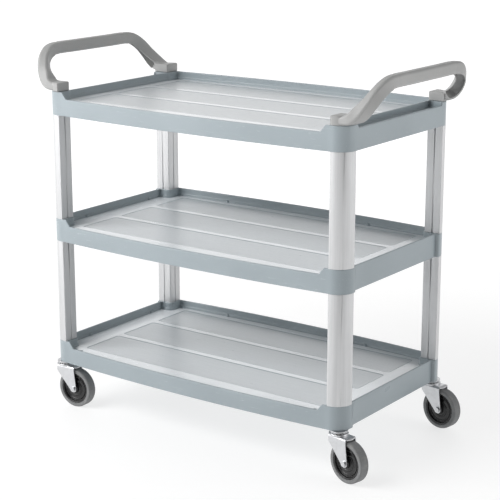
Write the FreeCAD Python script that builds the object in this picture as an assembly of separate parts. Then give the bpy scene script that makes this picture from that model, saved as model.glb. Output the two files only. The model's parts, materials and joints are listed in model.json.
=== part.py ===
"""Food service trolley: three moulded trays on clamped aluminium posts, two end handles, four swivel casters.

Millimetres. +X runs along the length, +Y to the high-walled back, +Z up.
The origin is on the floor under the middle of the trolley.
"""
import FreeCAD, Part
import math
import os

from FreeCAD import Vector

# ---- driving dimensions -------------------------------------------------------------------------
TRAY_LENGTH = 880.0
TRAY_WIDTH = 468.0          # across the corner posts
SIDE_BOW = 15.0             # the long sides swell by this much at mid-length
TRAY_HEIGHT = 58.0          # underside of a corner block to its top
TRAY_BASES = {"bottom_tray": 119.0, "middle_tray": 440.0, "top_tray": 761.0}
FRONT_SKIRT = 42.0          # height of the low front edge
DECK_TOP = 37.0             # deck surface above the tray's underside
DECK_THICKNESS = 4.0
SKIN = 4.0                  # wall thickness of the mouldings
LOWER_END_INSET = 8.0       # the ends of the two lower trays sit inside their corner blocks

POST_SIZE = 42.0
POST_RADIUS = 38.0          # quarter-round outer corner
POST_WALL = 2.0
POST_EDGE = 2.0             # radius of the post's edge towards the deck
BLOCK_SIZE = 47.0           # corner block, a little larger than the post towards the deck
BLOCK_RADIUS = 14.0
SPIGOT_LENGTH = 20.0
SPIGOT_PLAY = 0.3

HANDLE_REACH = 54.0         # centre of the grip beyond the tray's end
GRIP_CENTRE_Z = 911.0
GRIP_HALF = 128.0           # half the straight part of the grip
GRIP_DEPTH = 30.0           # section height of the grip
GRIP_THICKNESS = 24.0
FOOT_HEIGHT = 22.0

ROD_RADIUS = 4.0            # M8 tie rods clamp handles, trays and posts together
NUT_FLATS = 13.0

WHEEL_RADIUS = 50.0
WHEEL_WIDTH = 26.0
TYRE_INNER_RADIUS = 39.5
HUB_LENGTH = 30.0
TRAIL = 35.0                # wheel axle behind the swivel axis
FORK_GAP = 31.0
FORK_SHEET = 2.5
CROWN_TOP = 108.0           # top face of the fork's crown
SPACER_RADIUS = 6.0
RUNNING_PLAY = 0.06
AXLE_RADIUS = 4.0
AXLE_PLAY = 0.05
REST_SWIVEL = {"front_left": 3.0, "front_right": -12.0, "back_left": -5.0, "back_right": -8.5}

# ---- derived ------------------------------------------------------------------------------------
HALF_LENGTH = TRAY_LENGTH / 2
HALF_WIDTH = TRAY_WIDTH / 2
CORNERS = {"front_left": (-1, -1), "front_right": (1, -1), "back_left": (-1, 1), "back_right": (1, 1)}
PIVOT_X = HALF_LENGTH - POST_SIZE / 2
PIVOT_Y = HALF_WIDTH - POST_SIZE / 2
TOP_RIM = TRAY_BASES["top_tray"] + TRAY_HEIGHT
BOTTOM_BASE = TRAY_BASES["bottom_tray"]
UP = Vector(0, 0, 1)
MARGIN = 1.0                # cutters and tools run this far past the faces they open
ARC_INSET = 1 - math.sqrt(0.5)      # how far a quarter arc's middle stays in from its corner, per radius


# ---- helpers ------------------------------------------------------------------------------------
def line(a, b):
    return Part.LineSegment(Vector(*a), Vector(*b)).toShape()


def arc(a, through, b):
    return Part.Arc(Vector(*a), Vector(*through), Vector(*b)).toShape()


def slab(wire, bottom, top):
    """Solid between two heights over a flat wire drawn at z = 0."""
    face = Part.Face(wire)
    face.translate(Vector(0, 0, bottom))
    return face.extrude(Vector(0, 0, top - bottom))


def block(low, high):
    size = [b - a for a, b in zip(low, high)]
    return Part.makeBox(size[0], size[1], size[2], Vector(*low))


def rod(radius, bottom, top, x=0.0, y=0.0):
    return Part.makeCylinder(radius, top - bottom, Vector(x, y, bottom), UP)


def hexagon(flats, bottom, top, x=0.0, y=0.0):
    corner = flats / math.sqrt(3)
    angles = [math.radians(60 * i) for i in range(7)]
    points = [Vector(x + corner * math.cos(a), y + corner * math.sin(a), 0) for a in angles]
    return slab(Part.makePolygon(points), bottom, top)


def rounded_plan(half_x, half_y, radius, bow=0.0, straight=0.0):
    """Rounded rectangle; with a bow, the long sides swell between two straight stretches."""
    k = radius * ARC_INSET
    end = half_x - straight if bow else 0.0
    edges = []
    for side in (-1, 1):
        y = side * half_y
        if bow:
            edges.append(line((-half_x + radius, y, 0), (-end, y, 0)))
            edges.append(arc((-end, y, 0), (0, y + side * bow, 0), (end, y, 0)))
            edges.append(line((end, y, 0), (half_x - radius, y, 0)))
        else:
            edges.append(line((-half_x + radius, y, 0), (half_x - radius, y, 0)))
        edges.append(line((side * half_x, -half_y + radius, 0), (side * half_x, half_y - radius, 0)))
        for end_side in (-1, 1):
            edges.append(arc((end_side * (half_x - radius), y, 0),
                             (end_side * (half_x - k), side * (half_y - k), 0),
                             (end_side * half_x, side * (half_y - radius), 0)))
    return Part.Wire(Part.__sortEdges__(edges))


def corner_plan(size, outer_radius, inner_radius, inset=0.0):
    """Plan of a front-right corner piece: quarter-round outside, small radius towards the deck."""
    right = HALF_LENGTH - inset
    front = -HALF_WIDTH + inset
    left = HALF_LENGTH - size + inset
    back = -HALF_WIDTH + size - inset
    big = max(outer_radius - inset, 1.0)
    small = max(inner_radius - inset, 0.5)
    kb = big * ARC_INSET
    ks = small * ARC_INSET
    edges = [
        line((left, front, 0), (right - big, front, 0)),
        arc((right - big, front, 0), (right - kb, front + kb, 0), (right, front + big, 0)),
        line((right, front + big, 0), (right, back, 0)),
        line((right, back, 0), (left + small, back, 0)),
        arc((left + small, back, 0), (left + ks, back - ks, 0), (left, back - small, 0)),
        line((left, back - small, 0), (left, front, 0)),
    ]
    return Part.Wire(edges)


def to_corner(shape, sx, sy):
    """Mirror a shape made for the front-right corner to the corner with these signs."""
    result = shape
    if sx < 0:
        result = result.mirror(Vector(0, 0, 0), Vector(1, 0, 0))
    if sy > 0:
        result = result.mirror(Vector(0, 0, 0), Vector(0, 1, 0))
    return result


def all_at(edge, z, tolerance=0.01):
    """Whether an edge lies at one height."""
    box = edge.BoundBox
    return abs(box.ZMin - z) < tolerance and abs(box.ZMax - z) < tolerance


# ---- trays --------------------------------------------------------------------------------------
WALL_STEP = 6.0             # the wall's thicker foot above the deck
WALL_TOP = 5.0
WALL_FOOT = 6.5
END_SLOPE = 13.0            # run of the steep slope from corner block to front edge
RAISED_FRONT = 54.0         # the front edge stays high for this far from each end
GUTTER_INNER = 38.0         # top tray only: trough between end skirt and raised inner wall
GUTTER_DEPTH = 15.0
END_SKIRT_DROP = 8.0
PANEL_RECESS = 0.8
PANEL_ROWS = ((-196.0, -68.0), (-50.0, 76.0), (94.0, 214.0))
PANEL_HALF_LENGTH = 366.0
PANEL_RADIUS = 9.0
WELL_RADIUS = 10.0          # plan corners of the top tray's well
RIB_DEPTH = 12.0
RIB_THICKNESS = 3.0
RIB_OVERLAP = 0.5           # ribs run this far into the skirt and the deck
CROSS_RIB_ROWS = (-300.0, -180.0, -60.0, 60.0, 180.0, 300.0)
LONG_RIB_ROWS = (-78.0, 70.0)
DRAIN_RADIUS = 4.2
DRAIN_COLUMNS = (358.0, 378.0)
DRAIN_ROW = -221.0
NUB_RADIUS = 6.0            # half-round locating nubs at the foot of the walls
NUB_REACH = 3.8
BACK_NUBS = (-234.0, 209.0)
END_NUBS = (-111.0, 141.0)


def tray_plan(inset, end_inset):
    return rounded_plan(HALF_LENGTH - end_inset - inset, HALF_WIDTH - inset, POST_RADIUS - inset,
                        SIDE_BOW, BLOCK_SIZE - end_inset - inset)


def front_gap(base, low):
    """What the low front edge takes out of the raised wall: a wide gap with steep sloping ends."""
    top = base + TRAY_HEIGHT + MARGIN
    front = -HALF_WIDTH - SIDE_BOW - MARGIN
    back = -HALF_WIDTH + BLOCK_SIZE + WALL_STEP
    half_low = HALF_LENGTH - RAISED_FRONT - END_SLOPE
    slope = END_SLOPE / (TRAY_HEIGHT - FRONT_SKIRT) * (top - low)
    corners = [(-half_low, low), (half_low, low), (half_low + slope, top), (-half_low - slope, top)]
    points = [Vector(x, front, z) for x, z in corners + corners[:1]]
    face = Part.Face(Part.makePolygon(points))
    return face.extrude(Vector(0, back - front, 0))


def tray_ribs(base, end_inset):
    """Grid of stiffening ribs under the deck."""
    top = base + DECK_TOP - DECK_THICKNESS + RIB_OVERLAP
    low = top - RIB_DEPTH
    half_x = HALF_LENGTH - end_inset - SKIN
    half_y = HALF_WIDTH + SIDE_BOW
    half = RIB_THICKNESS / 2
    ribs = [block((x - half, -half_y, low), (x + half, half_y, top)) for x in CROSS_RIB_ROWS]
    ribs += [block((-half_x, y - half, low), (half_x, y + half, top)) for y in LONG_RIB_ROWS]
    web = ribs[0].fuse(ribs[1:])
    return web.common(slab(tray_plan(SKIN - RIB_OVERLAP, end_inset), low, top))


def bow_at(x):
    """How far the bowed side wall has swelled outwards at this place along the tray."""
    reach = HALF_LENGTH - BLOCK_SIZE
    radius = (reach ** 2 + SIDE_BOW ** 2) / (2 * SIDE_BOW)
    return math.sqrt(radius ** 2 - x * x) - radius + SIDE_BOW


def wall_nub(x, y, inward, deck):
    """One locating nub: half a tapered stud that stands on the deck against a wall."""
    start = Vector(x, y, deck) - inward * WALL_FOOT / 2
    length = NUB_REACH + WALL_FOOT / 2
    stud = Part.makeCone(NUB_RADIUS, NUB_RADIUS / 2, length, start, inward)
    size = NUB_RADIUS + WALL_FOOT
    return stud.common(block((x - size, y - size, deck - MARGIN), (x + size, y + size, deck + size)))


def wall_nubs(deck, end_inset):
    nubs = [wall_nub(x, HALF_WIDTH - WALL_FOOT + bow_at(x), Vector(0, -1, 0), deck) for x in BACK_NUBS]
    end = HALF_LENGTH - end_inset - WALL_FOOT
    for y in END_NUBS:
        nubs.append(wall_nub(end, y, Vector(-1, 0, 0), deck))
        nubs.append(wall_nub(-end, y, Vector(1, 0, 0), deck))
    return nubs


def deck_panels(base):
    """Cutters for the three recessed textured panels."""
    pockets = []
    for low, high in PANEL_ROWS:
        plan = rounded_plan(PANEL_HALF_LENGTH, (high - low) / 2, PANEL_RADIUS)
        pocket = slab(plan, base + DECK_TOP - PANEL_RECESS, base + DECK_TOP + MARGIN)
        pocket.translate(Vector(0, (high + low) / 2, 0))
        pockets.append(pocket)
    return pockets


def corner_block(base, spigot_up, spigot_down):
    """Solid corner of a tray, with the spigots that enter the hollow posts above and below."""
    body = slab(corner_plan(BLOCK_SIZE, POST_RADIUS, BLOCK_RADIUS), base, base + TRAY_HEIGHT)
    plan = corner_plan(POST_SIZE, POST_RADIUS, POST_EDGE, POST_WALL + SPIGOT_PLAY)
    if spigot_up:
        body = body.fuse(slab(plan, base + TRAY_HEIGHT - MARGIN, base + TRAY_HEIGHT + SPIGOT_LENGTH))
    if spigot_down:
        body = body.fuse(slab(plan, base - SPIGOT_LENGTH, base + MARGIN))
    return body


def end_gutter(base):
    """Trough behind the outer end skirt of the top tray, open above."""
    half_y = HALF_WIDTH - BLOCK_SIZE
    low = base + TRAY_HEIGHT - GUTTER_DEPTH
    high = base + TRAY_HEIGHT + MARGIN
    return block((HALF_LENGTH - GUTTER_INNER, -half_y, low), (HALF_LENGTH - SKIN, half_y, high))


def end_skirt_cut(base):
    """What lowers the outer end skirt of the top tray below the rest of its rim."""
    half_y = HALF_WIDTH - BLOCK_SIZE
    low = base + TRAY_HEIGHT - END_SKIRT_DROP
    high = base + TRAY_HEIGHT + MARGIN
    return block((HALF_LENGTH - GUTTER_INNER, -half_y, low), (HALF_LENGTH + MARGIN, half_y, high))


def well_plans(is_top, end_inset):
    """Plans of the well over the deck: at the wall's thicker foot, and above it."""
    if not is_top:
        return tray_plan(WALL_FOOT, end_inset), tray_plan(WALL_TOP, end_inset)
    end = HALF_LENGTH - GUTTER_INNER - SKIN
    foot = WALL_FOOT - WALL_TOP
    return (rounded_plan(end - foot, HALF_WIDTH - WALL_FOOT, WELL_RADIUS, SIDE_BOW, WALL_STEP),
            rounded_plan(end, HALF_WIDTH - WALL_TOP, WELL_RADIUS, SIDE_BOW, WALL_TOP))


def make_tray(name):
    base = TRAY_BASES[name]
    top = base + TRAY_HEIGHT
    deck = base + DECK_TOP
    is_top = name == "top_tray"
    is_bottom = name == "bottom_tray"
    end_inset = 0.0 if is_top else LOWER_END_INSET

    shell = slab(tray_plan(0, end_inset), base, top)
    shell = shell.cut(slab(tray_plan(SKIN, end_inset), base - MARGIN, deck - DECK_THICKNESS))
    foot_well, top_well = well_plans(is_top, end_inset)
    shell = shell.cut(slab(foot_well, deck, top + MARGIN))
    shell = shell.cut(slab(top_well, deck + WALL_STEP, top + MARGIN))
    if is_top:
        for side in (-1, 1):
            for tool in (end_gutter(base), end_skirt_cut(base)):
                shell = shell.cut(to_corner(tool, side, -1))
    shell = shell.cut(front_gap(base, base + FRONT_SKIRT))
    shell = shell.cut(deck_panels(base))
    shell = shell.fuse(tray_ribs(base, end_inset))
    if not is_top:
        shell = shell.fuse(wall_nubs(deck, end_inset))
    shell = shell.fuse([to_corner(corner_block(base, not is_top, not is_bottom), *signs)
                        for signs in CORNERS.values()])
    for column in DRAIN_COLUMNS:
        for x in (-column, column):
            shell = shell.cut(rod(DRAIN_RADIUS, deck - DECK_THICKNESS - MARGIN, deck + MARGIN, x, DRAIN_ROW))
    return shell.removeSplitter()


# ---- corner columns -----------------------------------------------------------------------------
NUT_PLAY = 0.1
THREAD_PLAY = 0.05
COUPLING_FLATS = 17.0
COUPLING_LENGTH = 44.0
COUPLING_SETBACK = 4.0      # the nut starts this far above the lowest tray's underside
THREAD_CHANGE = 26.0        # height in the lowest tray where the stem's thread gives way to the rod's
ROD_START = 28.0
ROD_PLAY = 0.5
INSERT_LENGTH = 14.0
ROD_SETBACK = 2.0           # the rod ends this far below the top of the insert
STEM_RADIUS = 5.0           # M10 caster stem
GROOVE_WIDTH = 3.0
GROOVE_DEPTH = 1.0


def make_post(bottom, top):
    """Hollow extrusion for the front-right corner: quarter-round outside, a groove in each inner face."""
    outer = slab(corner_plan(POST_SIZE, POST_RADIUS, POST_EDGE), bottom, top)
    low, high = bottom - MARGIN, top + MARGIN
    inner = slab(corner_plan(POST_SIZE, POST_RADIUS, POST_EDGE, POST_WALL), low, high)
    left = HALF_LENGTH - POST_SIZE
    back = -HALF_WIDTH + POST_SIZE
    half = GROOVE_WIDTH / 2
    groove_x = block((PIVOT_X - half, back - GROOVE_DEPTH, low), (PIVOT_X + half, back + MARGIN, high))
    groove_y = block((left - MARGIN, -PIVOT_Y - half, low), (left + GROOVE_DEPTH, -PIVOT_Y + half, high))
    return outer.cut(inner).cut([groove_x, groove_y])


def bore_corner(tray, name, sx, sy):
    """Clearance for the tie rod through a corner block, and the coupling nut's pocket in the lowest tray."""
    x, y = sx * PIVOT_X, sy * PIVOT_Y
    base = TRAY_BASES[name]
    reach = SPIGOT_LENGTH + MARGIN
    bored = tray.cut(rod(ROD_RADIUS + ROD_PLAY, base - reach, base + TRAY_HEIGHT + reach, x, y))
    if name == "bottom_tray":
        pocket_top = base + COUPLING_SETBACK + COUPLING_LENGTH
        bored = bored.cut(hexagon(COUPLING_FLATS + 2 * NUT_PLAY, base - MARGIN, pocket_top, x, y))
    return bored


def make_tie_rod():
    """M8 rod from the coupling nut in the lowest tray up into the insert in the handle's foot."""
    return rod(ROD_RADIUS, BOTTOM_BASE + ROD_START, TOP_RIM + INSERT_LENGTH - ROD_SETBACK, PIVOT_X, -PIVOT_Y)


def make_coupling_nut():
    """Long nut that joins a caster's stem from below to a tie rod from above."""
    base = BOTTOM_BASE + COUPLING_SETBACK
    middle = BOTTOM_BASE + THREAD_CHANGE
    top = base + COUPLING_LENGTH
    nut = hexagon(COUPLING_FLATS, base, top, PIVOT_X, -PIVOT_Y)
    nut = nut.cut(rod(STEM_RADIUS + THREAD_PLAY, base - MARGIN, middle, PIVOT_X, -PIVOT_Y))
    return nut.cut(rod(ROD_RADIUS + THREAD_PLAY, middle - MARGIN, top + MARGIN, PIVOT_X, -PIVOT_Y))


def make_insert():
    """Hexagonal threaded insert moulded into each handle foot."""
    top = TOP_RIM + INSERT_LENGTH
    body = hexagon(NUT_FLATS, TOP_RIM, top, PIVOT_X, -PIVOT_Y)
    return body.cut(rod(ROD_RADIUS + THREAD_PLAY, TOP_RIM - MARGIN, top + MARGIN, PIVOT_X, -PIVOT_Y))


def at_all_corners(shape):
    return Part.makeCompound([to_corner(shape, *signs) for signs in CORNERS.values()])


# ---- handles ------------------------------------------------------------------------------------
FOOT_Z = TOP_RIM + FOOT_HEIGHT / 2
GRIP_X = HALF_LENGTH + HANDLE_REACH
FOOT_Y = PIVOT_Y
SECTION_RADIUS = 7.0
STEPS_PER_SPAN = 3
TWIST = -0.3                # how far the section's width turns in towards the trolley half-way up the leg
CHANNEL_WALL = 2.8
CHANNEL_DEPTH = 19.0
CHANNEL_RADIUS = 2.0
CHANNEL_OPENING = 4.0       # the channel's cutter starts this far outside the leg
CHANNEL_SPANS = (2.4, 6.4)  # where the moulding's open channel starts and ends along the leg
FOOT_CORNER = 4.0           # plan radius of a foot's corner towards the deck
FOOT_EDGE = 3.0             # rounding round the top of a foot
FOOT_MARGIN = 5.0


def handle_stations():
    """Half of the right handle from foot to mid-grip: x, y, z, lean, width, thickness.

    Lean turns the section's width from flat across the foot (0) to upright at the grip (1).
    """
    x, y, z = HALF_LENGTH, FOOT_Y, FOOT_Z
    deep, thick = GRIP_DEPTH, GRIP_THICKNESS
    return [
        (x - 36, y, z, 0.0, POST_SIZE - 6, FOOT_HEIGHT - 2),
        (x - 18, y, z, 0.0, POST_SIZE - 6, FOOT_HEIGHT - 2),
        (x + 2, y, z + 5, 0.05, 36.0, 26.0),
        (x + 18, y - 4, z + 17, 0.2, 33.0, 29.0),
        (x + 34, y - 12, z + 37, 0.4, deep, 27.0),
        (x + 46, y - 27, z + 59, 0.65, deep, 25.0),
        (GRIP_X - 1, y - 52, GRIP_CENTRE_Z - 5, 0.9, deep, thick),
        (GRIP_X, GRIP_HALF, GRIP_CENTRE_Z, 1.0, deep, thick),
        (GRIP_X, GRIP_HALF / 2, GRIP_CENTRE_Z, 1.0, deep, thick),
        (GRIP_X, 0, GRIP_CENTRE_Z, 1.0, deep, thick),
    ]


def smooth_route(stations):
    """Points on a Catmull-Rom curve through the stations, STEPS_PER_SPAN to each span."""
    ends = [[2 * a - b for a, b in zip(stations[0], stations[1])]]
    tail = [[2 * a - b for a, b in zip(stations[-1], stations[-2])]]
    keys = ends + [list(s) for s in stations] + tail
    route = []
    for i in range(1, len(keys) - 2):
        for step in range(STEPS_PER_SPAN):
            t = step / STEPS_PER_SPAN
            route.append([0.5 * (2 * b + (c - a) * t + (2 * a - 5 * b + 4 * c - d) * t * t
                                 + (3 * b - a - 3 * c + d) * t ** 3)
                          for a, b, c, d in zip(keys[i - 1], keys[i], keys[i + 1], keys[i + 2])])
    route.append(list(stations[-1]))
    return route


def handle_frames():
    """Centre, width direction, thickness direction, width and thickness along the whole right handle."""
    half = smooth_route(handle_stations())
    mirrored = [[p[0], -p[1]] + p[2:] for p in reversed(half[:-1])]
    route = half + mirrored
    frames = []
    for i, (x, y, z, lean, width, thickness) in enumerate(route):
        before = route[max(i - 1, 0)]
        after = route[min(i + 1, len(route) - 1)]
        along = Vector(after[0] - before[0], after[1] - before[1], after[2] - before[2]).normalize()
        side = 1 if i < len(half) else -1
        angle = math.radians(90 * min(lean, 1.0))
        across = Vector(TWIST * math.sin(2 * angle), side * math.cos(angle), math.sin(angle))
        across = (across - along * across.dot(along)).normalize()
        frames.append((Vector(x, y, z), across, along.cross(across), width, thickness))
    return frames


def section_wire(centre, u, v, u_low, u_high, v_low, v_high, radius):
    """Rounded rectangle in the plane of u and v."""
    k = radius * ARC_INSET

    def at(a, b):
        return centre + u * a + v * b

    corners = [(u_high, v_high, 1, 1), (u_low, v_high, -1, 1), (u_low, v_low, -1, -1), (u_high, v_low, 1, -1)]
    arcs = []
    for a, b, sa, sb in corners:
        ends = [at(a, b - sb * radius), at(a - sa * radius, b)]
        if sa * sb < 0:
            ends.reverse()
        arcs.append((ends[0], at(a - sa * k, b - sb * k), ends[1]))
    edges = []
    for i, (start, middle, end) in enumerate(arcs):
        edges.append(Part.Arc(start, middle, end).toShape())
        edges.append(Part.LineSegment(end, arcs[(i + 1) % 4][0]).toShape())
    return Part.Wire(edges)


def handle_channels(frames):
    """Cutters for the open channel on the inner side of each leg."""
    first, last = [round(span * STEPS_PER_SPAN) for span in CHANNEL_SPANS]
    cutters = []
    for picked in (frames[first:last + 1], frames[len(frames) - 1 - last:len(frames) - first]):
        wires = [section_wire(c, u, v, -w / 2 - CHANNEL_OPENING, -w / 2 + CHANNEL_DEPTH,
                              -t / 2 + CHANNEL_WALL, t / 2 - CHANNEL_WALL, CHANNEL_RADIUS)
                 for c, u, v, w, t in picked]
        cutters.append(Part.makeLoft(wires, True, False))
    return cutters


def make_right_handle():
    """Moulded bail whose feet cap the top tray's right-hand corner blocks."""
    frames = handle_frames()
    wires = [section_wire(c, u, v, -w / 2, w / 2, -t / 2, t / 2, SECTION_RADIUS) for c, u, v, w, t in frames]
    body = Part.makeLoft(wires, True, False)
    body = body.cut(handle_channels(frames))
    foot_top = TOP_RIM + FOOT_HEIGHT
    foot = slab(corner_plan(POST_SIZE, POST_RADIUS, FOOT_CORNER), TOP_RIM, foot_top)
    foot = foot.makeFillet(FOOT_EDGE, [edge for edge in foot.Edges if all_at(edge, foot_top)])
    below = block((HALF_LENGTH - POST_SIZE - FOOT_MARGIN, -HALF_WIDTH - FOOT_MARGIN, TOP_RIM - TRAY_HEIGHT),
                  (HALF_LENGTH + FOOT_MARGIN, HALF_WIDTH + FOOT_MARGIN, TOP_RIM))
    body = body.fuse([foot, to_corner(foot, 1, 1)]).cut(below)
    pocket = hexagon(NUT_FLATS, TOP_RIM - MARGIN, TOP_RIM + INSERT_LENGTH, PIVOT_X, -PIVOT_Y)
    return body.cut([pocket, to_corner(pocket, 1, 1)])


# ---- casters ------------------------------------------------------------------------------------
RACE_RADIUS = 23.0
BALL_RADIUS = 2.5
BALL_PLAY = 0.05
BALL_CIRCLE = 17.0
BALL_COUNT = 16
RACE_MID = 112.5            # height of the ball centres
RACE_GAP = 0.6              # half the gap between the upper and the lower race cup
RACE_OVERLAP = 0.5          # the lower cup sinks this far into the crown
CUP_RADIUS = 20.0
STEM_PLATE_RADIUS = 22.0
STEM_PLATE = 3.0
STEM_REACH = 24.0           # length of the threaded stem inside the coupling nut
KINGPIN_RADIUS = 7.0
KINGPIN_PLAY = 0.4
KINGPIN_HEAD_RADIUS = 10.0
KINGPIN_HEAD_TOP = 102.5
KINGPIN_HEAD = 3.0
FORK_HALF = FORK_GAP / 2 + FORK_SHEET
CROWN_NOSE = 3.0            # the crown's round nose and its trailing end pass the legs by this much
CROWN_CORNER = 8.0
LEG_RADIUS = 9.5            # round end of a leg about the axle
LEG_FRONT = -16.0
LEG_BACK = TRAIL + 2.0
LEG_SHOULDER = 14.0         # straight part of the leading edge under the crown
LEG_LEAN_START = 3.0
HEAD_FLATS = 12.0
HEAD_HEIGHT = 4.0
HEAD_TRIM = 0.6             # the head's corners stand this much outside its flats
SHANK_END = 5.0             # the shank ends this far beyond the fork
NUT_HEIGHT = 4.5
AXLE_NUT_PLAY = 0.02


def make_caster_stem():
    """M10 stem riveted to the upper race cup, which stays with the trolley."""
    plate = rod(STEM_PLATE_RADIUS, BOTTOM_BASE - STEM_PLATE, BOTTOM_BASE)
    cup = rod(CUP_RADIUS, RACE_MID + RACE_GAP, BOTTOM_BASE - STEM_PLATE + MARGIN)
    kingpin = rod(KINGPIN_RADIUS, KINGPIN_HEAD_TOP, RACE_MID + RACE_GAP + MARGIN)
    head = rod(KINGPIN_HEAD_RADIUS, KINGPIN_HEAD_TOP - KINGPIN_HEAD, KINGPIN_HEAD_TOP)
    stem = rod(STEM_RADIUS, BOTTOM_BASE - MARGIN, BOTTOM_BASE + STEM_REACH)
    body = plate.fuse([cup, kingpin, head, stem])
    return body.cut(ball_groove())


def ball_groove():
    return Part.makeTorus(BALL_CIRCLE, BALL_RADIUS + BALL_PLAY, Vector(0, 0, RACE_MID), UP)


def make_race_balls():
    balls = []
    for i in range(BALL_COUNT):
        angle = 2 * math.pi * i / BALL_COUNT
        centre = Vector(BALL_CIRCLE * math.cos(angle), BALL_CIRCLE * math.sin(angle), RACE_MID)
        balls.append(Part.makeSphere(BALL_RADIUS, centre))
    return Part.makeCompound(balls)


def crown_plan():
    """Crown plate: round about the swivel axis, straight sides to a square trailing end."""
    front = FORK_HALF + CROWN_NOSE
    back = TRAIL + CROWN_NOSE
    r = CROWN_CORNER
    k = r * ARC_INSET
    edges = [
        line((0, FORK_HALF, 0), (back - r, FORK_HALF, 0)),
        arc((back - r, FORK_HALF, 0), (back - k, FORK_HALF - k, 0), (back, FORK_HALF - r, 0)),
        line((back, FORK_HALF - r, 0), (back, -FORK_HALF + r, 0)),
        arc((back, -FORK_HALF + r, 0), (back - k, -FORK_HALF + k, 0), (back - r, -FORK_HALF, 0)),
        line((back - r, -FORK_HALF, 0), (0, -FORK_HALF, 0)),
        arc((0, -FORK_HALF, 0), (-front, 0, 0), (0, FORK_HALF, 0)),
    ]
    return Part.Wire(edges)


def fork_leg():
    """Tapered side plate, round about the axle, on the -Y side of the wheel."""
    top = CROWN_TOP - FORK_SHEET / 2
    r = LEG_RADIUS
    lean = math.atan2(TRAIL - r - LEG_FRONT - LEG_LEAN_START, top - WHEEL_RADIUS)
    touch = (TRAIL - r * math.cos(lean), 0, WHEEL_RADIUS - r * math.sin(lean))
    low_angle = math.radians(-70)
    low = (TRAIL + r * math.cos(low_angle), 0, WHEEL_RADIUS + r * math.sin(low_angle))
    edges = [
        line((LEG_FRONT, 0, top), (LEG_BACK, 0, top)),
        line((LEG_BACK, 0, top), (TRAIL + r, 0, WHEEL_RADIUS)),
        arc((TRAIL + r, 0, WHEEL_RADIUS), low, touch),
        line(touch, (LEG_FRONT, 0, top - LEG_SHOULDER)),
        line((LEG_FRONT, 0, top - LEG_SHOULDER), (LEG_FRONT, 0, top)),
    ]
    face = Part.Face(Part.Wire(edges))
    face.translate(Vector(0, -FORK_HALF, 0))
    return face.extrude(Vector(0, FORK_SHEET, 0))


def make_fork():
    """Pressed fork with the lower race cup raised in its crown."""
    crown = slab(crown_plan(), CROWN_TOP - FORK_SHEET, CROWN_TOP)
    leg = fork_leg()
    race = rod(RACE_RADIUS, CROWN_TOP - RACE_OVERLAP, RACE_MID - RACE_GAP)
    body = crown.fuse([leg, leg.mirror(Vector(0, 0, 0), Vector(0, 1, 0)), race])
    body = body.cut(rod(KINGPIN_RADIUS + KINGPIN_PLAY, CROWN_TOP - FORK_SHEET - MARGIN, RACE_MID))
    body = body.cut(ball_groove())
    return body.cut(axle_rod(AXLE_RADIUS + AXLE_PLAY, -FORK_HALF - MARGIN, FORK_HALF + MARGIN))


def axle_rod(radius, start, end):
    return Part.makeCylinder(radius, end - start, Vector(TRAIL, start, WHEEL_RADIUS), Vector(0, 1, 0))


def axle_hex(flats, start, end):
    shape = hexagon(flats, start, end)
    shape.rotate(Vector(0, 0, 0), Vector(1, 0, 0), -90)
    shape.translate(Vector(TRAIL, 0, WHEEL_RADIUS))
    return shape


def make_axle_bolt():
    """Hexagon head with trimmed corners, and a shank through both fork legs."""
    head = axle_hex(HEAD_FLATS, -FORK_HALF - HEAD_HEIGHT, -FORK_HALF)
    trim = axle_rod(HEAD_FLATS / 2 + HEAD_TRIM, -FORK_HALF - HEAD_HEIGHT, -FORK_HALF)
    shank = axle_rod(AXLE_RADIUS, -FORK_HALF - MARGIN, FORK_HALF + SHANK_END)
    return head.common(trim).fuse(shank)


def make_axle_nut():
    nut = axle_hex(HEAD_FLATS, FORK_HALF, FORK_HALF + NUT_HEIGHT)
    return nut.cut(axle_rod(AXLE_RADIUS + AXLE_NUT_PLAY, FORK_HALF - MARGIN, FORK_HALF + NUT_HEIGHT + MARGIN))


def make_axle_spacer():
    """Steel tube clamped between the fork legs; the wheel turns on it."""
    tube = axle_rod(SPACER_RADIUS, -FORK_GAP / 2, FORK_GAP / 2)
    return tube.cut(axle_rod(AXLE_RADIUS + AXLE_PLAY, -FORK_GAP, FORK_GAP))


def turned(profile):
    """Solid of revolution about the wheel's axle from (radius, along) points and arcs."""
    edges = []
    for item in profile:
        points = [Vector(TRAIL, along, WHEEL_RADIUS + radius) for radius, along in item]
        edges.append(Part.Arc(*points).toShape() if len(points) == 3 else Part.LineSegment(*points).toShape())
    face = Part.Face(Part.Wire(edges))
    return face.revolve(Vector(TRAIL, 0, WHEEL_RADIUS), Vector(0, 1, 0), 360)


def both_sides(points):
    """Closed straight-edged profile from the points of its +Y half, listed from bore to rim."""
    loop = points + [(radius, -along) for radius, along in reversed(points)]
    return [(loop[i], loop[(i + 1) % len(loop)]) for i in range(len(loop))]


def make_wheel_hub():
    bore = SPACER_RADIUS + RUNNING_PLAY
    half = HUB_LENGTH / 2
    points = [
        (bore, half), (10.5, half), (11.5, half - 1), (12.5, 8.5), (17.0, 8.0), (18.0, 9.0), (20.0, 9.0),
        (21.0, 7.5), (28.0, 6.8), (29.0, 8.0), (31.0, 8.0), (32.0, 6.5), (34.5, 6.5), (35.5, 11.0),
        (TYRE_INNER_RADIUS - 0.8, 11.5), (TYRE_INNER_RADIUS, 10.8),
    ]
    return turned(both_sides(points))


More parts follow.
